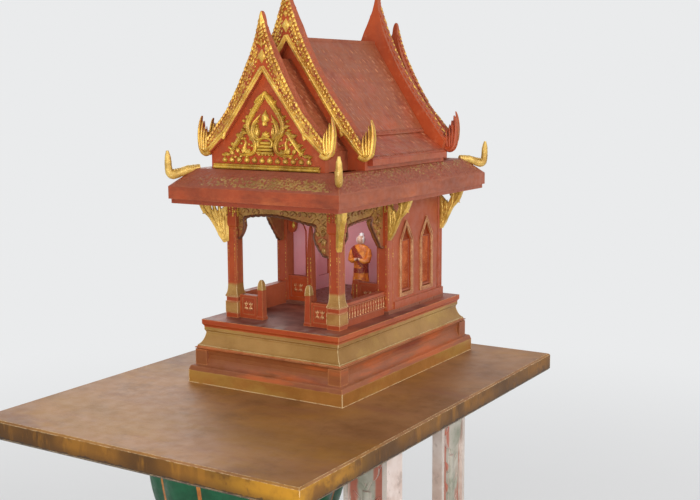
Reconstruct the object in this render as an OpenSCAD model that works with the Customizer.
// Spirit house of cast, painted concrete on its precast slab table.
// Millimetres, +Z up. The origin is on the ground under the middle of the table slab.
// The entrance faces -Y. The house stands on the slab, set back from its front edge.

/* [Table] */
// Height of the slab's top above the ground
table_h = 800; // [600:10:1000]
// Width of the slab, along X
table_w = 860; // [780:10:1000]
// Depth of the slab, along Y
table_d = 1200; // [1120:10:1400]
// Thickness of the slab
slab_t = 45; // [35:1:70]
// Bevel along the slab's edges
slab_bevel = 4; // [1:1:8]
// Distance that the house is set back from the middle of the slab
house_back = 200; // [120:5:220]
// Distance from the middle of the table to the outer face of a leg
leg_out = 375; // [365:5:385]
// Distance from the middle of the table to the far face of a leg
leg_back = 190; // [170:5:240]
// Width of the front leg, across its carved face
front_leg_w = 112; // [80:2:120]
// Depth of the front leg
front_leg_d = 68; // [40:2:90]
// Thickness of a rear leg
rear_leg_t = 26; // [22:1:50]
// Width of a rear leg, across its carved face
rear_leg_w = 120; // [80:2:150]

/* [Lotus pedestal] */
// Radius of the lotus capital under the slab
lotus_r = 236; // [210:2:244]
// Number of petals round the capital
petals = 12; // [10:1:20]
// Height of the lotus capital
lotus_h = 340; // [280:5:360]
// Radius of the waist
waist_r = 96; // [70:2:115]
// Height of the foot below the waist
lotus_foot_h = 120; // [90:5:180]

/* [Plinth] */
// Width of the porch floor
floor_w = 400; // [380:2:430]
// Depth of the porch floor
floor_d = 614; // [590:2:660]
// Height of the porch floor above the table
floor_z = 156; // [140:1:180]
// Height of the chamber floor above the porch floor
chamber_step = 8; // [4:1:16]

/* [Walls and posts] */
// Ledge of the porch floor outside a post or side wall
side_ledge = 32; // [28:1:38]
// Thickness of the chamber walls
wall_t = 16; // [12:1:22]
// Height of the underside of the soffit above the table
soffit_z = 446; // [430:1:480]
// Ledge of the porch floor in front of the front posts
porch_ledge = 55; // [48:1:66]
// Distance from the middle of the house to the face of the chamber's front
chamber_face = 30; // [10:1:60]
// Ledge of the plinth behind the rear wall
rear_ledge = 45; // [38:1:60]
// Width of a post's pedestal
post_w = 37; // [32:1:40]
// Width of a post's shaft
shaft_w = 27; // [20:1:30]
// Clear width of the doorway between the bollards
door_w = 120; // [90:2:130]
// Width of a bollard at its foot
bollard_w = 20; // [16:1:24]
// Height of a bollard with its tip
bollard_h = 98; // [80:1:110]
// Height of the porch rails above the floor
rail_h = 58; // [45:1:66]
// Thickness of the rails and low panels
rail_t = 16; // [12:1:20]

/* [Windows] */
// Width of a window opening
window_w = 50; // [36:1:56]
// Height of a window opening to its point
window_h = 173; // [150:1:184]
// Height of the pointed head of a window above its shoulders
window_rise = 41; // [34:1:60]
// Height of the base course below the windows
course_h = 19; // [12:1:30]
// Height of a window's frame above the base course
sill_rise = 9; // [4:1:14]
// Distance that the base course stands proud of the walls
course_t = 3; // [2:1:5]
// Distance from the chamber's front to the middle of the first window
window_first = 91; // [84:1:104]
// Distance between the two windows on a side
window_pitch = 108; // [90:1:112]
// Width of the gold frame round a window
frame_w = 9; // [6:1:10]
// Distance that the frame stands proud of the wall
frame_t = 4; // [3:1:6]
// Height of the frame's peak above the point of the opening
frame_peak = 12; // [8:1:18]

/* [Roof] */
// Overhang of the eave beyond the side walls
eave_side = 75; // [70:1:80]
// Overhang of the eave beyond the front posts and the rear wall
eave_end = 116; // [110:1:125]
// Height of the smooth band round the eave
band_h = 30; // [20:1:40]
// Thickness of the soffit slab
soffit_t = 11; // [8:1:16]
// Height of the ridge above the table
ridge_z = 836; // [800:2:870]
// Distance that an end of the main roof lies behind the face of the front posts
main_in = 67; // [60:1:84]
// Distance that the face of a lower gable stands out from the face of the front posts
lower_out = 60; // [48:1:66]
// Height of the point of a lower gable above the table
lower_tip_z = 892; // [870:2:910]
// Height of the point of an upper gable above the table
upper_tip_z = 985; // [960:5:1020]
// Number of flame teeth along each gable edge
teeth = 14; // [8:1:20]

/* [Hidden] */
$fn = 48;

// Paint colours
RED = [0.66, 0.28, 0.14];
DEEP_RED = [0.55, 0.20, 0.12];
GOLD = [0.78, 0.60, 0.22];
OLIVE_GOLD = [0.60, 0.50, 0.28];
FLOOR_BROWN = [0.42, 0.25, 0.22];
SLAB_BROWN = [0.52, 0.36, 0.18];
GREEN = [0.07, 0.36, 0.22];
PLASTER = [0.66, 0.60, 0.56];
ROBE = [0.80, 0.40, 0.10];

// Helpers that place things
module at_house() translate([0, house_back, table_h]) children();
module both_sides() { children(); mirror([1, 0, 0]) children(); }
module both_halves() { children(); mirror([1, 0]) children(); }
module facing_front() rotate([90, 0, 0]) children();
module facing_side() rotate([90, 0, 90]) children();

// A point on the quadratic curve a-b-c, and n steps along that curve
function curve_at(a, b, c, t) = a * (1 - t) * (1 - t) + b * 2 * t * (1 - t) + c * t * t;
function curve(a, b, c, n) = [for (i = [0:n]) curve_at(a, b, c, i / n)];

// The same curve with pointed teeth of height h standing out on its left-hand side
function toothed(a, b, c, n, h) = [
    for (i = [0:n - 1]) for (s = [0, 0.72])
        let (t = (i + s) / n,
             p = curve_at(a, b, c, t),
             q = curve_at(a, b, c, t + 0.01) - p,
             out = [-q[1], q[0]] / norm(q))
        p + out * (s > 0 ? h : 0),
    c];

// The profile [out, height] mirrored about the middle, round a body w wide
function both_edges(profile, w) = concat(
    [for (p = profile) [w / 2 + p[0], p[1]]],
    [for (i = [len(profile) - 1:-1:0]) [-w / 2 - profile[i][0], profile[i][1]]]);

// A rectangular moulding with mitred corners, from the profile [out, height]
module moulding(w, d, profile) {
    far = 2 * (w + d);
    intersection() {
        facing_front() linear_extrude(far, center = true) polygon(both_edges(profile, w));
        facing_side() linear_extrude(far, center = true) polygon(both_edges(profile, d));
    }
}

// Derived sizes of the table
leg_h = table_h - slab_t;

// Derived sizes of the house, in its own frame
chamber_z = floor_z + chamber_step;
wall_out = floor_w / 2 - side_ledge;
porch_out = floor_d / 2 - porch_ledge;
rear_out = floor_d / 2 - rear_ledge;
main_end = porch_out - main_in;
lower_face = porch_out + lower_out;
post_x = wall_out - post_w / 2;
post_y = porch_out - post_w / 2;
rail_out = wall_out - 10;
bollard_x = door_w / 2 + bollard_w / 2;
soffit_top = soffit_z + soffit_t;
eave_x = wall_out + eave_side;
eave_y = porch_out + eave_end;
soffit_in = 5;
chamber_post_w = 31;
carved_h = 40;
capital_w = 34;

// The table

module table_slab() color(SLAB_BROWN)
    translate([0, 0, leg_h])
        moulding(table_w, table_d, [[-slab_bevel, 0], [0, slab_bevel],
                                    [0, slab_t - slab_bevel], [-slab_bevel, slab_t]]);

// A leg with a raised rim round its carved outer face, drawn facing -Y
module leg_panel(w, t, rim, raise) {
    translate([0, raise, 0]) cube([w, t - raise, leg_h]);
    difference() {
        cube([w, raise, leg_h]);
        translate([rim, -1, 2 * rim]) cube([w - 2 * rim, raise + 2, leg_h - 4 * rim]);
    }
    translate([w / 2, raise, leg_h - 5 * rim]) facing_front()
        cylinder(r = w / 2 - 1.8 * rim, h = raise);
    translate([w / 2, raise, 5 * rim]) facing_front()
        cylinder(r = w / 2 - 1.8 * rim, h = raise);
}

leg_rim = 12;
leg_relief = 8;

// The front has one leg, on the right: the pedestal carries its left half
module table_front_leg() color(PLASTER)
    translate([leg_out - front_leg_w, -leg_back, 0])
        leg_panel(front_leg_w, front_leg_d, leg_rim, leg_relief);

module table_rear_legs() color(PLASTER)
    both_sides() translate([leg_out, leg_back - rear_leg_w, 0]) rotate([0, 0, 90])
        leg_panel(rear_leg_w, rear_leg_t, leg_rim, leg_relief);

// The lotus pedestal: a petalled capital and foot on a turned waist
petal_steps = 6;
petal_rings = 9;
petal_depth = 11;

// Radius of the petalled cup: t runs from the waist to the rim, u across one petal
function cup_r(t, low, high) = low + (high - low) * (1 - pow(1 - t, 3));
function petal_lift(u, t) = petal_depth * sin(180 * u) * sin(180 * (0.12 + 0.70 * t));

module petalled_cup(low, high, h) {
    n = petals * petal_steps;
    rings = [for (k = [0:petal_rings]) let (t = k / petal_rings)
        [for (i = [0:n - 1]) let (u = (i % petal_steps) / petal_steps,
                                  r = cup_r(t, low, high) + petal_lift(u, t) - petal_lift(0.5, 1),
                                  a = 360 * i / n)
            [r * cos(a), r * sin(a), h * t]]];
    points = concat([for (ring = rings) for (p = ring) p]);
    sides = [for (k = [0:petal_rings - 1]) for (i = [0:n - 1]) let (j = (i + 1) % n)
        each [[k * n + i, (k + 1) * n + i, k * n + j],
              [k * n + j, (k + 1) * n + i, (k + 1) * n + j]]];
    floor_face = [for (i = [0:n - 1]) i];
    top_face = [for (i = [n - 1:-1:0]) petal_rings * n + i];
    polyhedron(points, concat(sides, [floor_face, top_face]), convexity = 4);
}

module lotus_pedestal() color(GREEN) {
    waist_top = leg_h - lotus_h;
    translate([0, -leg_back, 0]) {
        translate([0, 0, waist_top]) petalled_cup(waist_r, lotus_r, lotus_h);
        translate([0, 0, lotus_foot_h]) mirror([0, 0, 1])
            petalled_cup(waist_r, lotus_r * 0.9, lotus_foot_h);
        rotate_extrude() polygon(concat(
            [[0, lotus_foot_h - 1], [waist_r - petal_depth - 1, lotus_foot_h - 1]],
            curve([waist_r + 8, lotus_foot_h + 14], [waist_r - 34, (lotus_foot_h + waist_top) / 2],
                  [waist_r + 8, waist_top - 14], 12),
            [[waist_r - petal_depth - 1, waist_top + 1], [0, waist_top + 1]]));
    }
}

// The plinth: how far each band stands out from the porch floor, and the height it reaches
band_out = 25;
band_z = 30;
recess_out = 3;
recess_z = 65;
ledge_out = 13;
ledge_z = 88;
neck_in = 7;
neck_z = 121;
roll_in = 4;
roll_z = 139;
foot_block = 34;

module plinth_base() color(DEEP_RED) at_house() {
    block = [foot_block, foot_block, ledge_z - band_z - 16];
    moulding(floor_w, floor_d, concat(
        [[band_out, 0], [band_out, band_z], [band_out - 3, band_z + 10]],
        curve([band_out - 5, band_z + 12], [recess_out + 4, band_z + 14],
              [recess_out, recess_z - 5], 6),
        [[recess_out, recess_z + 5]],
        curve([recess_out + 1, recess_z + 7], [recess_out + 3, ledge_z - 4],
              [ledge_out, ledge_z - 2], 4),
        [[ledge_out, ledge_z]]));
    for (sx = [-1, 1], sy = [-1, 1])
        translate([sx * (floor_w / 2 + ledge_out - 1 - foot_block / 2),
                   sy * (floor_d / 2 + ledge_out - 1 - foot_block / 2), band_z + 11 + block[2] / 2])
            cube(block, center = true);
}

module plinth_body() color(OLIVE_GOLD) at_house()
    moulding(floor_w, floor_d, concat(
        [[ledge_out - 4, ledge_z]],
        curve([ledge_out - 5, ledge_z + 5], [-2, ledge_z + 10], [-neck_in, neck_z], 7),
        [[-neck_in, neck_z + 4], [-roll_in, roll_z - 9], [-roll_in, roll_z],
         [0, roll_z + 6], [0, floor_z]]));

module chamber_floor() color(FLOOR_BROWN) at_house()
    translate([-wall_out - course_t, -chamber_face, floor_z])
        cube([2 * (wall_out + course_t), chamber_face + rear_out + course_t, chamber_step]);

// A post's foot, block, neck and flare: the height that each one reaches
post_foot_h = 12;
post_block_h = 40;
post_neck_h = 52;
post_flare_h = 88;
post_groove = 2;

// A square post with a block, a flared base and a carved capital, foot at the origin
module post(h) {
    shaft = (shaft_w - post_w) / 2;
    capital = (capital_w - post_w) / 2;
    moulding(post_w, post_w, concat(
        [[-1, 0], [-1, post_foot_h - 1], [0, post_foot_h], [0, post_block_h],
         [-post_groove, post_block_h + 1], [-post_groove, post_neck_h - 1], [0, post_neck_h]],
        curve([0, post_neck_h + 3], [shaft, post_neck_h + 10], [shaft, post_flare_h], 6),
        [[shaft, h - carved_h - 26], [capital, h - carved_h - 20], [capital, h]]));
}

module front_left_post() color(RED) at_house()
    translate([-post_x, -post_y, floor_z]) post(soffit_z - floor_z);

module front_right_post() color(RED) at_house()
    translate([post_x, -post_y, floor_z]) post(soffit_z - floor_z);

// A tapered bollard with a bullet-shaped tip, foot at the origin
bollard_tip = 4;

module bollard() {
    tip_in = (bollard_tip - bollard_w) / 2;
    cap_z = bollard_h * 0.75;
    moulding(bollard_w, bollard_w, concat(
        [[0, 0], [0, 6], [-1.5, 9], [-3, cap_z - 3], [-2.4, cap_z]],
        curve([-2.4, cap_z + 1], [-3.2, bollard_h * 0.97], [tip_in, bollard_h], 5)));
}

// The tall tapered jamb beside the chamber's doorway, foot at the origin. Only a stub is left
// of the one on the right.
jamb_w = 17;
jamb_h = 205;
jamb_tip = 3;
jamb_stub_h = 70;

module jamb() {
    tip_in = (jamb_tip - jamb_w) / 2;
    moulding(jamb_w, jamb_w, concat(
        [[1.5, 0], [1.5, 8], [0, 11]],
        curve([0, jamb_h * 0.3], [0, jamb_h * 0.82], [tip_in, jamb_h], 7)));
}

module jamb_stub() moulding(jamb_w, jamb_w,
    [[1.5, 0], [1.5, 8], [0, 11], [0, jamb_stub_h - 3], [-2, jamb_stub_h]]);

// A low panel with a sunk field and a rosette, drawn facing -Y from x0 to x1
panel_rim = 7;
panel_sink = 3;
rosette_r = 10;
rosette_w = 5;

module low_panel(x0, x1, h) {
    w = x1 - x0;
    field_h = h - 2 * panel_rim - panel_sink;
    translate([x0, 0, 0]) {
        difference() {
            cube([w, rail_t, h]);
            translate([panel_rim, -1, panel_rim + panel_sink])
                cube([w - 2 * panel_rim, panel_sink + 1, field_h]);
        }
        translate([w / 2, panel_sink, panel_rim + panel_sink + field_h / 2]) facing_front()
            for (a = [0:45:135]) rotate(a)
                translate([-rosette_r, -rosette_w / 2, 0])
                    cube([2 * rosette_r, rosette_w, panel_sink]);
    }
}

module front_rail() color(RED) at_house()
    both_sides() translate([0, -post_y - rail_t / 2, floor_z]) {
        translate([bollard_x, rail_t / 2, 0]) bollard();
        low_panel(bollard_x + bollard_w / 2, post_x - post_w / 2, rail_h);
    }

// A side rail with a coping and a row of small balusters, drawn for the right side
coping_h = 7;
coping_out = 2;
balusters = 15;
baluster_d = 7;
baluster_out = 3;

module side_rail() {
    y0 = -post_y + post_w / 2;
    len_y = -chamber_face - y0;
    translate([rail_out - rail_t, y0, floor_z]) {
        cube([rail_t, len_y, rail_h - coping_h]);
        translate([-coping_out, 0, rail_h - coping_h])
            cube([rail_t + 2 * coping_out, len_y, coping_h]);
        for (i = [0:balusters - 1])
            translate([rail_t - 1, len_y * (i + 0.5) / balusters, rail_h - coping_h - 18])
                rotate([0, 90, 0]) cylinder(d = baluster_d, h = baluster_out + 1, $fn = 8);
    }
}

module right_rail() color(RED) at_house() side_rail();
module left_rail() color(RED) at_house() mirror([1, 0, 0]) side_rail();

// The chamber: its rail lies behind the face of the posts, beside the jambs of its doorway
chamber_rail_in = 6;

// A lobed haunch in the corner under the soffit, drawn from the post at x 0
haunch_w = 27;
haunch_h = 104;
haunch_t = 10;

module haunch() linear_extrude(haunch_t)
    polygon(concat([[0, 0], [0, -haunch_h * 0.94]],
                   curve([haunch_w * 0.2, -haunch_h], [haunch_w * 0.9, -haunch_h],
                         [haunch_w * 0.8, -haunch_h * 0.68], 5),
                   curve([haunch_w, -haunch_h * 0.62], [haunch_w * 1.2, -haunch_h * 0.4],
                         [haunch_w * 1.05, 0], 4)));

module chamber_posts() color(RED) at_house()
    both_sides() {
        translate([wall_out - chamber_post_w, -chamber_face, chamber_z])
            cube([chamber_post_w, chamber_post_w, soffit_z - chamber_z]);
        translate([wall_out - chamber_post_w,
                   -chamber_face + (chamber_post_w + haunch_t) / 2, soffit_z])
            mirror([1, 0, 0]) facing_front() haunch();
    }

module chamber_rail() color(RED) at_house()
    translate([0, -chamber_face + chamber_rail_in, chamber_z]) {
        translate([-bollard_x, rail_t / 2, 0]) jamb();
        translate([bollard_x, rail_t / 2, 0]) jamb_stub();
        both_sides()
            low_panel(bollard_x + jamb_w / 2, wall_out - chamber_post_w, rail_h + chamber_step);
    }

// Outline of a lancet, its sill on the x axis: w wide, h high to its point, with the head
// above its shoulders rise high and drawn in by the hollow, and the foot g below the sill
function lancet(w, h, rise, hollow, g) =
    let (head = curve([w / 2, h - rise], [w / 4 - hollow, h - rise / 2], [0, h], 6))
    concat([[w / 2, -g]], head,
           [for (i = [len(head) - 2:-1:0]) [-head[i][0], head[i][1]]],
           [[-w / 2, -g]]);

window_hollow = 1;
frame_hollow = 3;

module window_opening() polygon(lancet(window_w, window_h, window_rise, window_hollow, 0));
module window_surround()
    polygon(lancet(window_w + 2 * frame_w, window_h + frame_peak,
                   window_rise + frame_peak + frame_w, frame_hollow, frame_w));

// The walls: a groove sets off a flat pilaster at each rear corner
pilaster_w = 27;
groove_w = 3;
groove_d = 2;

module corner_groove() cube([groove_w, 2 * groove_d, soffit_z], center = true);

side_wall_y0 = -chamber_face + chamber_post_w;
side_wall_len = rear_out - side_wall_y0;
sill_z = chamber_z + course_h + sill_rise + frame_w;

// Places the children at both windows of the right wall, drawn in a plane facing +X
module at_windows(x) {
    for (i = [0, 1])
        translate([x, -chamber_face + window_first + i * window_pitch, sill_z])
            facing_side() children();
}

module side_wall() {
    difference() {
        translate([wall_out - wall_t, side_wall_y0, chamber_z])
            cube([wall_t, side_wall_len, soffit_z - chamber_z]);
        at_windows(wall_out - wall_t - 1) linear_extrude(wall_t + 2) window_opening();
        translate([wall_out, rear_out - pilaster_w, chamber_z + course_h + soffit_z / 2])
            rotate([0, 0, 90]) corner_groove();
    }
    translate([wall_out, side_wall_y0, chamber_z])
        cube([course_t, side_wall_len + course_t, course_h]);
}

module right_wall() color(RED) at_house() side_wall();
module left_wall() color(RED) at_house() mirror([1, 0, 0]) side_wall();

module rear_wall() color(RED) at_house() {
    difference() {
        translate([-wall_out + wall_t, rear_out - wall_t, chamber_z])
            cube([2 * (wall_out - wall_t), wall_t, soffit_z - chamber_z]);
        both_sides()
            translate([wall_out - pilaster_w, rear_out, chamber_z + course_h + soffit_z / 2])
                corner_groove();
    }
    translate([-wall_out, rear_out, chamber_z]) cube([2 * wall_out, course_t, course_h]);
}

panel_t = 5;

module window_panels() color(RED) at_house()
    both_sides() at_windows(wall_out - wall_t / 2 - panel_t / 2)
        linear_extrude(panel_t) window_opening();

module window_frames() color(GOLD) at_house()
    both_sides() at_windows(wall_out)
        linear_extrude(frame_t) difference() {
            window_surround();
            window_opening();
        }

// The valances under the eave: their thickness, and their depth at the crown, at the slim leg
// and at the wide leg
valance_t = 10;
front_crown = 31;
side_crown = 42;
slim_leg = 19;
slim_drop = 95;
wide_drop = 122;

// The lower edge of a valance that hangs from z 0 between x -span and span: a slim leg, and
// an arch that sinks from its crown towards the wide leg
function slim_edge(span, crown) = concat(
    curve([-span, -slim_drop], [-span + 14, -slim_drop + 14],
          [-span + slim_leg, -crown - 30], 4),
    [[-span + slim_leg - 2, -crown - 16]]);

function front_edge(span) = concat(
    slim_edge(span, front_crown),
    curve([-span + slim_leg + 2, -front_crown - 10], [-span * 0.15, -front_crown + 5],
          [span * 0.30, -front_crown - 11], 6),
    curve([span * 0.40, -front_crown - 14], [span * 0.60, -front_crown - 20],
          [span * 0.71, -front_crown - 17], 3),
    curve([span * 0.72, -front_crown - 30], [span * 0.60, -front_crown - 56],
          [span * 0.80, -front_crown - 76], 4),
    [[span * 0.90, -wide_drop], [span, -wide_drop]]);

function side_edge(span) = concat(
    slim_edge(span, side_crown),
    curve([-span + slim_leg + 2, -side_crown - 9], [-span * 0.2, -side_crown - 2],
          [span * 0.42, -side_crown], 5),
    curve([span * 0.31, -side_crown - 9], [span * 0.38, -side_crown - 24],
          [span * 0.53, -side_crown - 38], 3),
    curve([span * 0.60, -side_crown - 50], [span * 0.72, -side_crown - 62],
          [span * 0.82, -wide_drop + 6], 3),
    [[span * 0.92, -wide_drop], [span, -wide_drop]]);

module valance(span, edge)
    linear_extrude(valance_t) polygon(concat([[-span, 0]], edge, [[span, 0]]));

module front_valance() color(GOLD) at_house() {
    span = post_x - capital_w / 2;
    translate([0, -post_y + valance_t / 2, soffit_z]) facing_front()
        valance(span, front_edge(span));
}

module side_valance() {
    y0 = -post_y + capital_w / 2;
    span = (-chamber_face - y0) / 2;
    translate([rail_out - rail_t / 2 - valance_t / 2, y0 + span, soffit_z]) facing_side()
        valance(span, side_edge(span));
}

module right_valance() color(GOLD) at_house() side_valance();
module left_valance() color(GOLD) at_house() mirror([1, 0, 0]) side_valance();

// An eave bracket: a leaf from the wall at x 0, notched at its top, with an arm that reaches
// the soffit at z 0. The root lies behind the wall's face at the corners of the porch.
bracket_reach = 65;
bracket_drop = 103;
bracket_t = 11;
bracket_root = 9;

function bracket_outline(root) = concat(
    [[-root, -bracket_drop + 4], [0, -bracket_drop], [5, -bracket_drop]],
    curve([16, -86], [24, -64], [40, -40], 5),
    [[46, -28], [53, -28]],
    curve([58, -18], [62, -8], [bracket_reach, 0], 3),
    [[50, 0], [47, -9], [43, 0], [36, 0]],
    curve([34, -10], [30, -24], [22, -35], 4),
    curve([16, -30], [8, -20], [0, -14], 3),
    [[-root, -14]]);

module bracket(root = 0) translate([0, bracket_t / 2, 0]) facing_front()
    linear_extrude(bracket_t) polygon(bracket_outline(root));

// The brackets at the corners of the porch stand out diagonally
module porch_bracket() difference() {
    translate([post_x + capital_w / 2, -post_y - capital_w / 2, soffit_z])
        rotate([0, 0, -45]) bracket(bracket_root);
    translate([post_x, -post_y, floor_z]) post(soffit_z - floor_z);
}

module eave_brackets() color(GOLD) at_house()
    both_sides() {
        for (y = [-chamber_face + bracket_t / 2 + 1, rear_out - bracket_t / 2 - 2])
            translate([wall_out, y, soffit_z]) bracket();
        porch_bracket();
    }

module soffit() color(DEEP_RED) at_house()
    translate([-eave_x + soffit_in, -eave_y + soffit_in, soffit_z])
        cube([2 * (eave_x - soffit_in), 2 * (eave_y - soffit_in), soffit_t]);

// The eaves: a skirt with a smooth band, mitred at the four hips. It ends below the second
// tier and the face of the gables, and is hollow behind its top.
skirt_top_z = 528;
tier_x = 205;
tier_flat = 22;
tier_y = lower_face;
lower_t = 28;
lower_back = lower_face - lower_t;

module eave_ring() {
    side = [[eave_x, soffit_top], [eave_x, soffit_top + band_h], [tier_x, skirt_top_z]];
    end = [[eave_y, soffit_top], [eave_y, soffit_top + band_h], [tier_y, skirt_top_z]];
    far = 2 * (eave_x + eave_y);
    difference() {
        intersection() {
            facing_front() linear_extrude(far, center = true) polygon(both_edges(side, 0));
            facing_side() linear_extrude(far, center = true) polygon(both_edges(end, 0));
        }
        translate([-tier_x + tier_flat, -lower_back, soffit_top - 1])
            cube([2 * (tier_x - tier_flat), 2 * lower_back, skirt_top_z]);
    }
}

// The part of the plan that holds one side of the ring, cut along the hips. Its corner
// points run from beyond the eave's corner, by way of the skirt's top, to the hollow.
HIP = [[2 * eave_x - tier_x, 2 * eave_y - tier_y], [tier_x, tier_y],
       [tier_x - tier_flat, lower_back]];

module hip_wedge(front) {
    far_side = front ? [-1, 1] : [1, -1];
    corner = [for (p = HIP) [p[0], -p[1]]];
    other = [for (i = [len(HIP) - 1:-1:0]) [corner[i][0] * far_side[0], corner[i][1] * far_side[1]]];
    linear_extrude(2 * skirt_top_z) polygon(concat(corner, other));
}

module front_eave_body() intersection() { eave_ring(); hip_wedge(true); }
module side_eave_body() intersection() { eave_ring(); hip_wedge(false); }

module front_eave() color(RED) at_house() front_eave_body();
module rear_eave() color(RED) at_house() mirror([0, 1, 0]) front_eave_body();
module right_eave() color(RED) at_house() side_eave_body();
module left_eave() color(RED) at_house() mirror([1, 0, 0]) side_eave_body();

// The second tier, drawn for the right side: it runs from the step under the main roof
// out to its own edge
step_z = 603;
main_foot_x = 154;
main_t = 14;
second_x = 219;
second_z = 553;
edge_t = 14;
second_step = 5;

main_slope = (ridge_z - step_z) / main_foot_x;
main_drop = main_t * sqrt(1 + main_slope * main_slope);
main_in_x = main_foot_x - main_drop / main_slope;

module second_tier() facing_front() linear_extrude(2 * main_end, center = true)
    polygon([[main_in_x, step_z], [main_foot_x - second_step, step_z], [second_x, second_z],
             [second_x, second_z - edge_t], [tier_x, second_z - edge_t],
             [tier_x, skirt_top_z], [tier_x - tier_flat, skirt_top_z],
             [tier_x - tier_flat, second_z - edge_t + 2], [main_in_x, step_z - edge_t - 4]]);

module right_second_tier() color(RED) at_house() second_tier();
module left_second_tier() color(RED) at_house() mirror([1, 0, 0]) second_tier();

// The main roof, drawn for the right side, cut flat under the ridge bar
ridge_cut = 7;
ridge_w = 10;
ridge_h = 9;

module main_roof() facing_front() linear_extrude(2 * main_end, center = true)
    polygon([[0, ridge_z - ridge_cut], [ridge_cut / main_slope, ridge_z - ridge_cut],
             [main_foot_x, step_z], [main_in_x, step_z], [0, ridge_z - main_drop]]);

module right_main_roof() color(RED) at_house() main_roof();
module left_main_roof() color(RED) at_house() mirror([1, 0, 0]) main_roof();

module roof_ridge() color(RED) at_house()
    translate([-ridge_w / 2, -main_end, ridge_z - ridge_cut])
        cube([ridge_w, 2 * main_end, ridge_h]);

// The gables, each drawn facing -Y in its own plane, right half
gable_t = 12;
upper_band = 18;
lower_band = 12;
tooth_h = 3.5;

// Outer edge, inner edge and finial of the upper gable
UP_SHOULDER = [9, upper_tip_z - 67];
UP_BEND = [58, 769];
UP_KNEE = [158, 652];
UP_END = [212, 580];
UP_IN_TOP = [0, 828];
UP_IN_KNEE = [146, 616];
UP_IN_END = [204, 556];

// Outer edge and inner edge of the lower gable
LOW_SHOULDER = [7, lower_tip_z - 30];
LOW_BEND = [29, 777];
LOW_KNEE = [110, 657];
LOW_END = [166, 596];
LOW_IN_TOP = [0, 755];
LOW_IN_KNEE = [108, 610];
LOW_IN_END = [162, 564];

// The outer edge of a gable's right half. The control point of the curve at its tip says how
// blunt the spire is.
UP_SPIRE = [UP_SHOULDER[0] * 0.25, upper_tip_z - 34];
LOW_SPIRE = [LOW_SHOULDER[0], lower_tip_z - 4];

function gable_outer(tip, spire, shoulder, bend, knee, end) = concat(
    curve(tip, spire, shoulder, 4),
    toothed(shoulder, bend, knee, teeth, tooth_h),
    toothed(knee, (knee + end) / 2, end, 5, tooth_h));

// The same edge without its teeth, behind the carved board
function plain_outer(tip, spire, shoulder, bend, knee, end) = concat(
    curve(tip, spire, shoulder, 4),
    [for (i = [1:8]) curve_at(shoulder, bend, knee, i / 8)],
    [end]);

// One tongue of a flame: a curved blade from its foot, towards the bend, to its tip
module tongue(foot, bend, tip, w) {
    half = [w / 2, 0];
    polygon(concat(curve(foot - half, bend - half, tip, 5),
                   [for (i = [1:5]) curve_at(tip, bend + half, foot + half, i / 5)]));
}

// The flame-shaped finial at a gable's lower end: a round heel from p, w wide, with four
// tongues up to h high. The fractions of w and h place the foot, bend and tip of each.
TONGUES = [[[0.46, 0.12], [0.28, 0.36], [0.26, 0.56]],
           [[0.70, 0.12], [0.84, 0.38], [0.57, 0.63]],
           [[0.94, 0.14], [1.20, 0.50], [1.02, 0.82]],
           [[1.17, 0.16], [1.62, 0.66], [1.10, 0.97]]];
flame_t = 14;

module flame(p, w, h) {
    size = [[w, 0], [0, h]];
    polygon(concat([p + [-2, 6]],
                   curve(p, p + [w * 0.45, -9], p + [w, 2], 4),
                   [p + [w * 1.26, h * 0.11], p + [w * 1.34, h * 0.22], p + [w * 0.36, h * 0.24],
                    p + [w * 0.22, h * 0.17], p + [-2, h * 0.22]]));
    for (t = TONGUES) tongue(p + t[0] * size, p + t[1] * size, p + t[2] * size, w * 0.30);
}

// Thins the flames, whose heels lie at the height v, towards their tips
module flame_taper(v, h) facing_side() linear_extrude(2 * eave_x, center = true)
    polygon([[v - 12, 0], [v + h * 0.3, 0], [v + h, flame_t * 0.3],
             [v + h, flame_t * 0.7], [v + h * 0.3, flame_t], [v - 12, flame_t]]);

module band_half(outer, in_top, in_knee, in_end)
    polygon(concat([in_top], outer, [in_end], [in_knee]));

module panel_half(outer, in_end, foot_x)
    polygon(concat([[0, skirt_top_z]], outer, [in_end, [foot_x, skirt_top_z]]));

// Thins a spire at its back from the height v up to its tip
spire_rise = 34;
spire_t = 9;

module spire_relief(v, tip, d) facing_side() linear_extrude(2 * eave_x, center = true)
    polygon([[v, -1], [v, 0], [tip, d - spire_t], [tip + 1, d - spire_t], [tip + 1, -1]]);

// A gable facing -Y, its back on the plane z 0: a plain panel panel_d thick, and a toothed
// board that reaches board_d
module gable(outer, plain, in_top, in_knee, in_end, foot_x, panel_d, board_d, flame_w, flame_h) {
    difference() {
        union() {
            linear_extrude(panel_d) both_halves() panel_half(plain, in_end, foot_x);
            translate([0, 0, panel_d - 1]) linear_extrude(board_d - panel_d + 1)
                both_halves() band_half(outer, in_top, in_knee, in_end);
        }
        spire_relief(in_top[1] + spire_rise, outer[0][1], board_d);
    }
    translate([0, 0, board_d - flame_t]) intersection() {
        linear_extrude(flame_t) both_halves() flame(in_end, flame_w, flame_h);
        flame_taper(in_end[1], flame_h);
    }
}

module upper_gable()
    translate([0, -main_end, 0]) facing_front()
        gable(gable_outer([0, upper_tip_z], UP_SPIRE, UP_SHOULDER, UP_BEND, UP_KNEE, UP_END),
              plain_outer([0, upper_tip_z], UP_SPIRE, UP_SHOULDER, UP_BEND, UP_KNEE, UP_END),
              UP_IN_TOP, UP_IN_KNEE, UP_IN_END, tier_x, gable_t, gable_t + upper_band, 23, 92);

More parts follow.
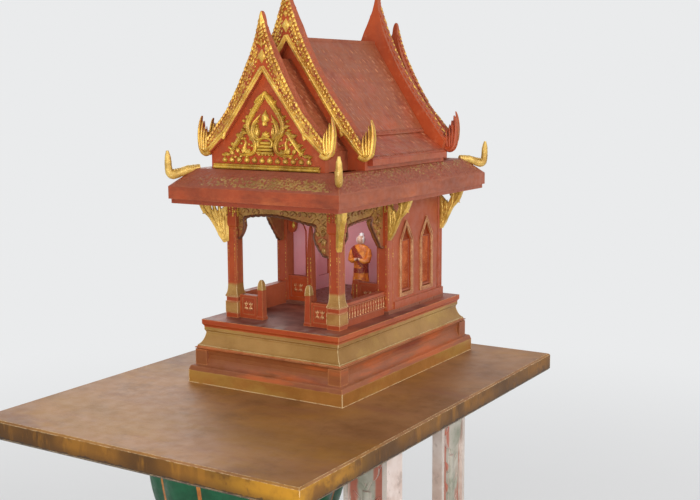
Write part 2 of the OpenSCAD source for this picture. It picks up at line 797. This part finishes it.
module lower_gable()
    translate([0, -lower_back, 0]) facing_front()
        gable(gable_outer([0, lower_tip_z], LOW_SPIRE, LOW_SHOULDER, LOW_BEND, LOW_KNEE, LOW_END),
              plain_outer([0, lower_tip_z], LOW_SPIRE, LOW_SHOULDER, LOW_BEND, LOW_KNEE, LOW_END),
              LOW_IN_TOP, LOW_IN_KNEE, LOW_IN_END, LOW_IN_END[0], lower_t - lower_band, lower_t,
              21, 92);

module front_upper_gable() color(RED) at_house() upper_gable();
module rear_upper_gable() color(RED) at_house() mirror([0, 1, 0]) upper_gable();
module front_lower_gable() color(RED) at_house() lower_gable();
module rear_lower_gable() color(RED) at_house() mirror([0, 1, 0]) lower_gable();

// The short roof between a lower and an upper gable
roof_in = 4;
roof_knee = [106, 636];
roof_top = 786;
LOW_ROOF = [[LOW_IN_END[0] - roof_in, skirt_top_z], [LOW_IN_END[0] - roof_in, LOW_IN_END[1] + 10],
            roof_knee, [0, roof_top]];

module lower_roof() {
    y1 = -main_end - gable_t;
    translate([0, y1, 0]) facing_front() linear_extrude(lower_back + y1)
        polygon(concat(LOW_ROOF, [for (i = [2:-1:0]) [-LOW_ROOF[i][0], LOW_ROOF[i][1]]]));
}

module front_lower_roof() color(RED) at_house() lower_roof();
module rear_lower_roof() color(RED) at_house() mirror([0, 1, 0]) lower_roof();

// The carved tympanum: a gold frame, a base moulding, an arch and a throne block
tymp_t = 9;
tymp_half = LOW_IN_END[0] - 10;
tymp_z = skirt_top_z + 14;
tymp_top = 706;
tymp_rim = 12;
tymp_slope = (tymp_top - tymp_z) / tymp_half;
tymp_rim_x = tymp_rim * (1 + sqrt(1 + tymp_slope * tymp_slope)) / tymp_slope;
base_h = 8;
arch_half = 32;
arch_rim = 8;
arch_top = 678;
throne = [48, 44];

// A pointed arch with its foot on the frame, w wide each way and with its point at z
module arch_outline(w, z) {
    half = curve([w, z - 64], [w - 2, z - 22], [0, z], 5);
    polygon(concat([[-w, tymp_z + tymp_rim], [w, tymp_z + tymp_rim]], half,
                   [for (i = [len(half) - 2:-1:0]) [-half[i][0], half[i][1]]]));
}

module tympanum() {
    inner_half = tymp_half - tymp_rim_x;
    translate([0, -lower_face + lower_band, 0]) facing_front() {
        linear_extrude(tymp_t) difference() {
            polygon([[-tymp_half, tymp_z], [tymp_half, tymp_z], [0, tymp_top]]);
            polygon([[-inner_half, tymp_z + tymp_rim], [inner_half, tymp_z + tymp_rim],
                     [0, tymp_z + tymp_rim + inner_half * tymp_slope]]);
        }
        translate([-tymp_half - 2, skirt_top_z, 0])
            cube([2 * (tymp_half + 2), base_h, tymp_t + 2]);
        translate([-tymp_half, skirt_top_z + base_h, 0])
            cube([2 * tymp_half, tymp_z - skirt_top_z - base_h, tymp_t]);
        linear_extrude(tymp_t - 2) difference() {
            arch_outline(arch_half, arch_top);
            arch_outline(arch_half - arch_rim, arch_top - arch_rim * 1.6);
        }
        translate([-throne[0] / 2, tymp_z + tymp_rim, 0]) cube([throne[0], throne[1], tymp_t]);
    }
}

module front_tympanum() color(GOLD) at_house() tympanum();
module rear_tympanum() color(GOLD) at_house() mirror([0, 1, 0]) tympanum();

// The horn on each hip, scribed to the skirt that it stands on
hip_angle = atan2(eave_y - tier_y, eave_x - tier_x);
hip_len = norm([eave_x - tier_x, eave_y - tier_y]);
horn_t = 14;
horn_h = 46;
horn_rise = 6;
horn_foot = 50;

module hip_horn() difference() {
    translate([tier_x, -tier_y, skirt_top_z]) rotate([90, 0, -hip_angle])
        linear_extrude(horn_t, center = true)
            polygon(concat(
                [[0, -6], [0, horn_rise]],
                curve([4, horn_rise], [hip_len * 0.42, 0], [hip_len * 0.64, -3], 4),
                curve([hip_len * 0.68, -1], [hip_len * 0.84, 14], [hip_len * 0.87, 32], 5),
                curve([hip_len * 0.88, horn_h - 8], [hip_len * 0.94, horn_h + 4],
                      [hip_len * 1.02, horn_h - 3], 4),
                curve([hip_len * 1.06, horn_h - 10], [hip_len * 1.10, 0],
                      [hip_len + 1, -30], 5),
                [[hip_len - 2, -horn_foot]]));
    front_eave_body();
    side_eave_body();
}

module hip_finials() color(GOLD) at_house()
    both_sides() { hip_horn(); mirror([0, 1, 0]) hip_horn(); }

// The small standing figure in the chamber: a robe, shoulders, a head and a bun of hair
figure_y = 118;
figure_h = 172;
robe_r = 22;
robe_wide = 8;
waist_half = 20;
shoulder_r = 11;
neck_r = 7;
head_r = 13.5;
bun_r = 7;

module guardian_figure() color(ROBE) at_house() {
    waist_z = figure_h * 0.42;
    shoulder_z = figure_h * 0.76;
    head_z = figure_h - bun_r - head_r;
    translate([0, figure_y, chamber_z]) {
        hull() {
            for (x = [-robe_wide, robe_wide])
                translate([x, 0, 0]) cylinder(r = robe_r, h = 3, $fn = 24);
            translate([0, 0, waist_z]) cylinder(r = waist_half, h = 3, $fn = 24);
        }
        hull() {
            translate([0, 0, waist_z]) cylinder(r = waist_half, h = 3, $fn = 24);
            for (x = [-waist_half, waist_half])
                translate([x, 0, shoulder_z]) sphere(r = shoulder_r, $fn = 24);
        }
        translate([0, 0, shoulder_z + neck_r]) cylinder(r = neck_r, h = head_z - shoulder_z - neck_r);
        translate([0, 0, head_z]) sphere(r = head_r);
        translate([0, 3, figure_h - bun_r]) sphere(r = bun_r);
    }
}

table_slab();
table_front_leg();
table_rear_legs();
lotus_pedestal();
plinth_base();
plinth_body();
chamber_floor();
front_left_post();
front_right_post();
front_rail();
left_rail();
right_rail();
chamber_posts();
chamber_rail();
left_wall();
right_wall();
rear_wall();
window_panels();
window_frames();
front_valance();
left_valance();
right_valance();
eave_brackets();
soffit();
front_eave();
rear_eave();
left_eave();
right_eave();
left_second_tier();
right_second_tier();
left_main_roof();
right_main_roof();
roof_ridge();
front_lower_roof();
rear_lower_roof();
front_upper_gable();
rear_upper_gable();
front_lower_gable();
rear_lower_gable();
front_tympanum();
rear_tympanum();
hip_finials();
guardian_figure();
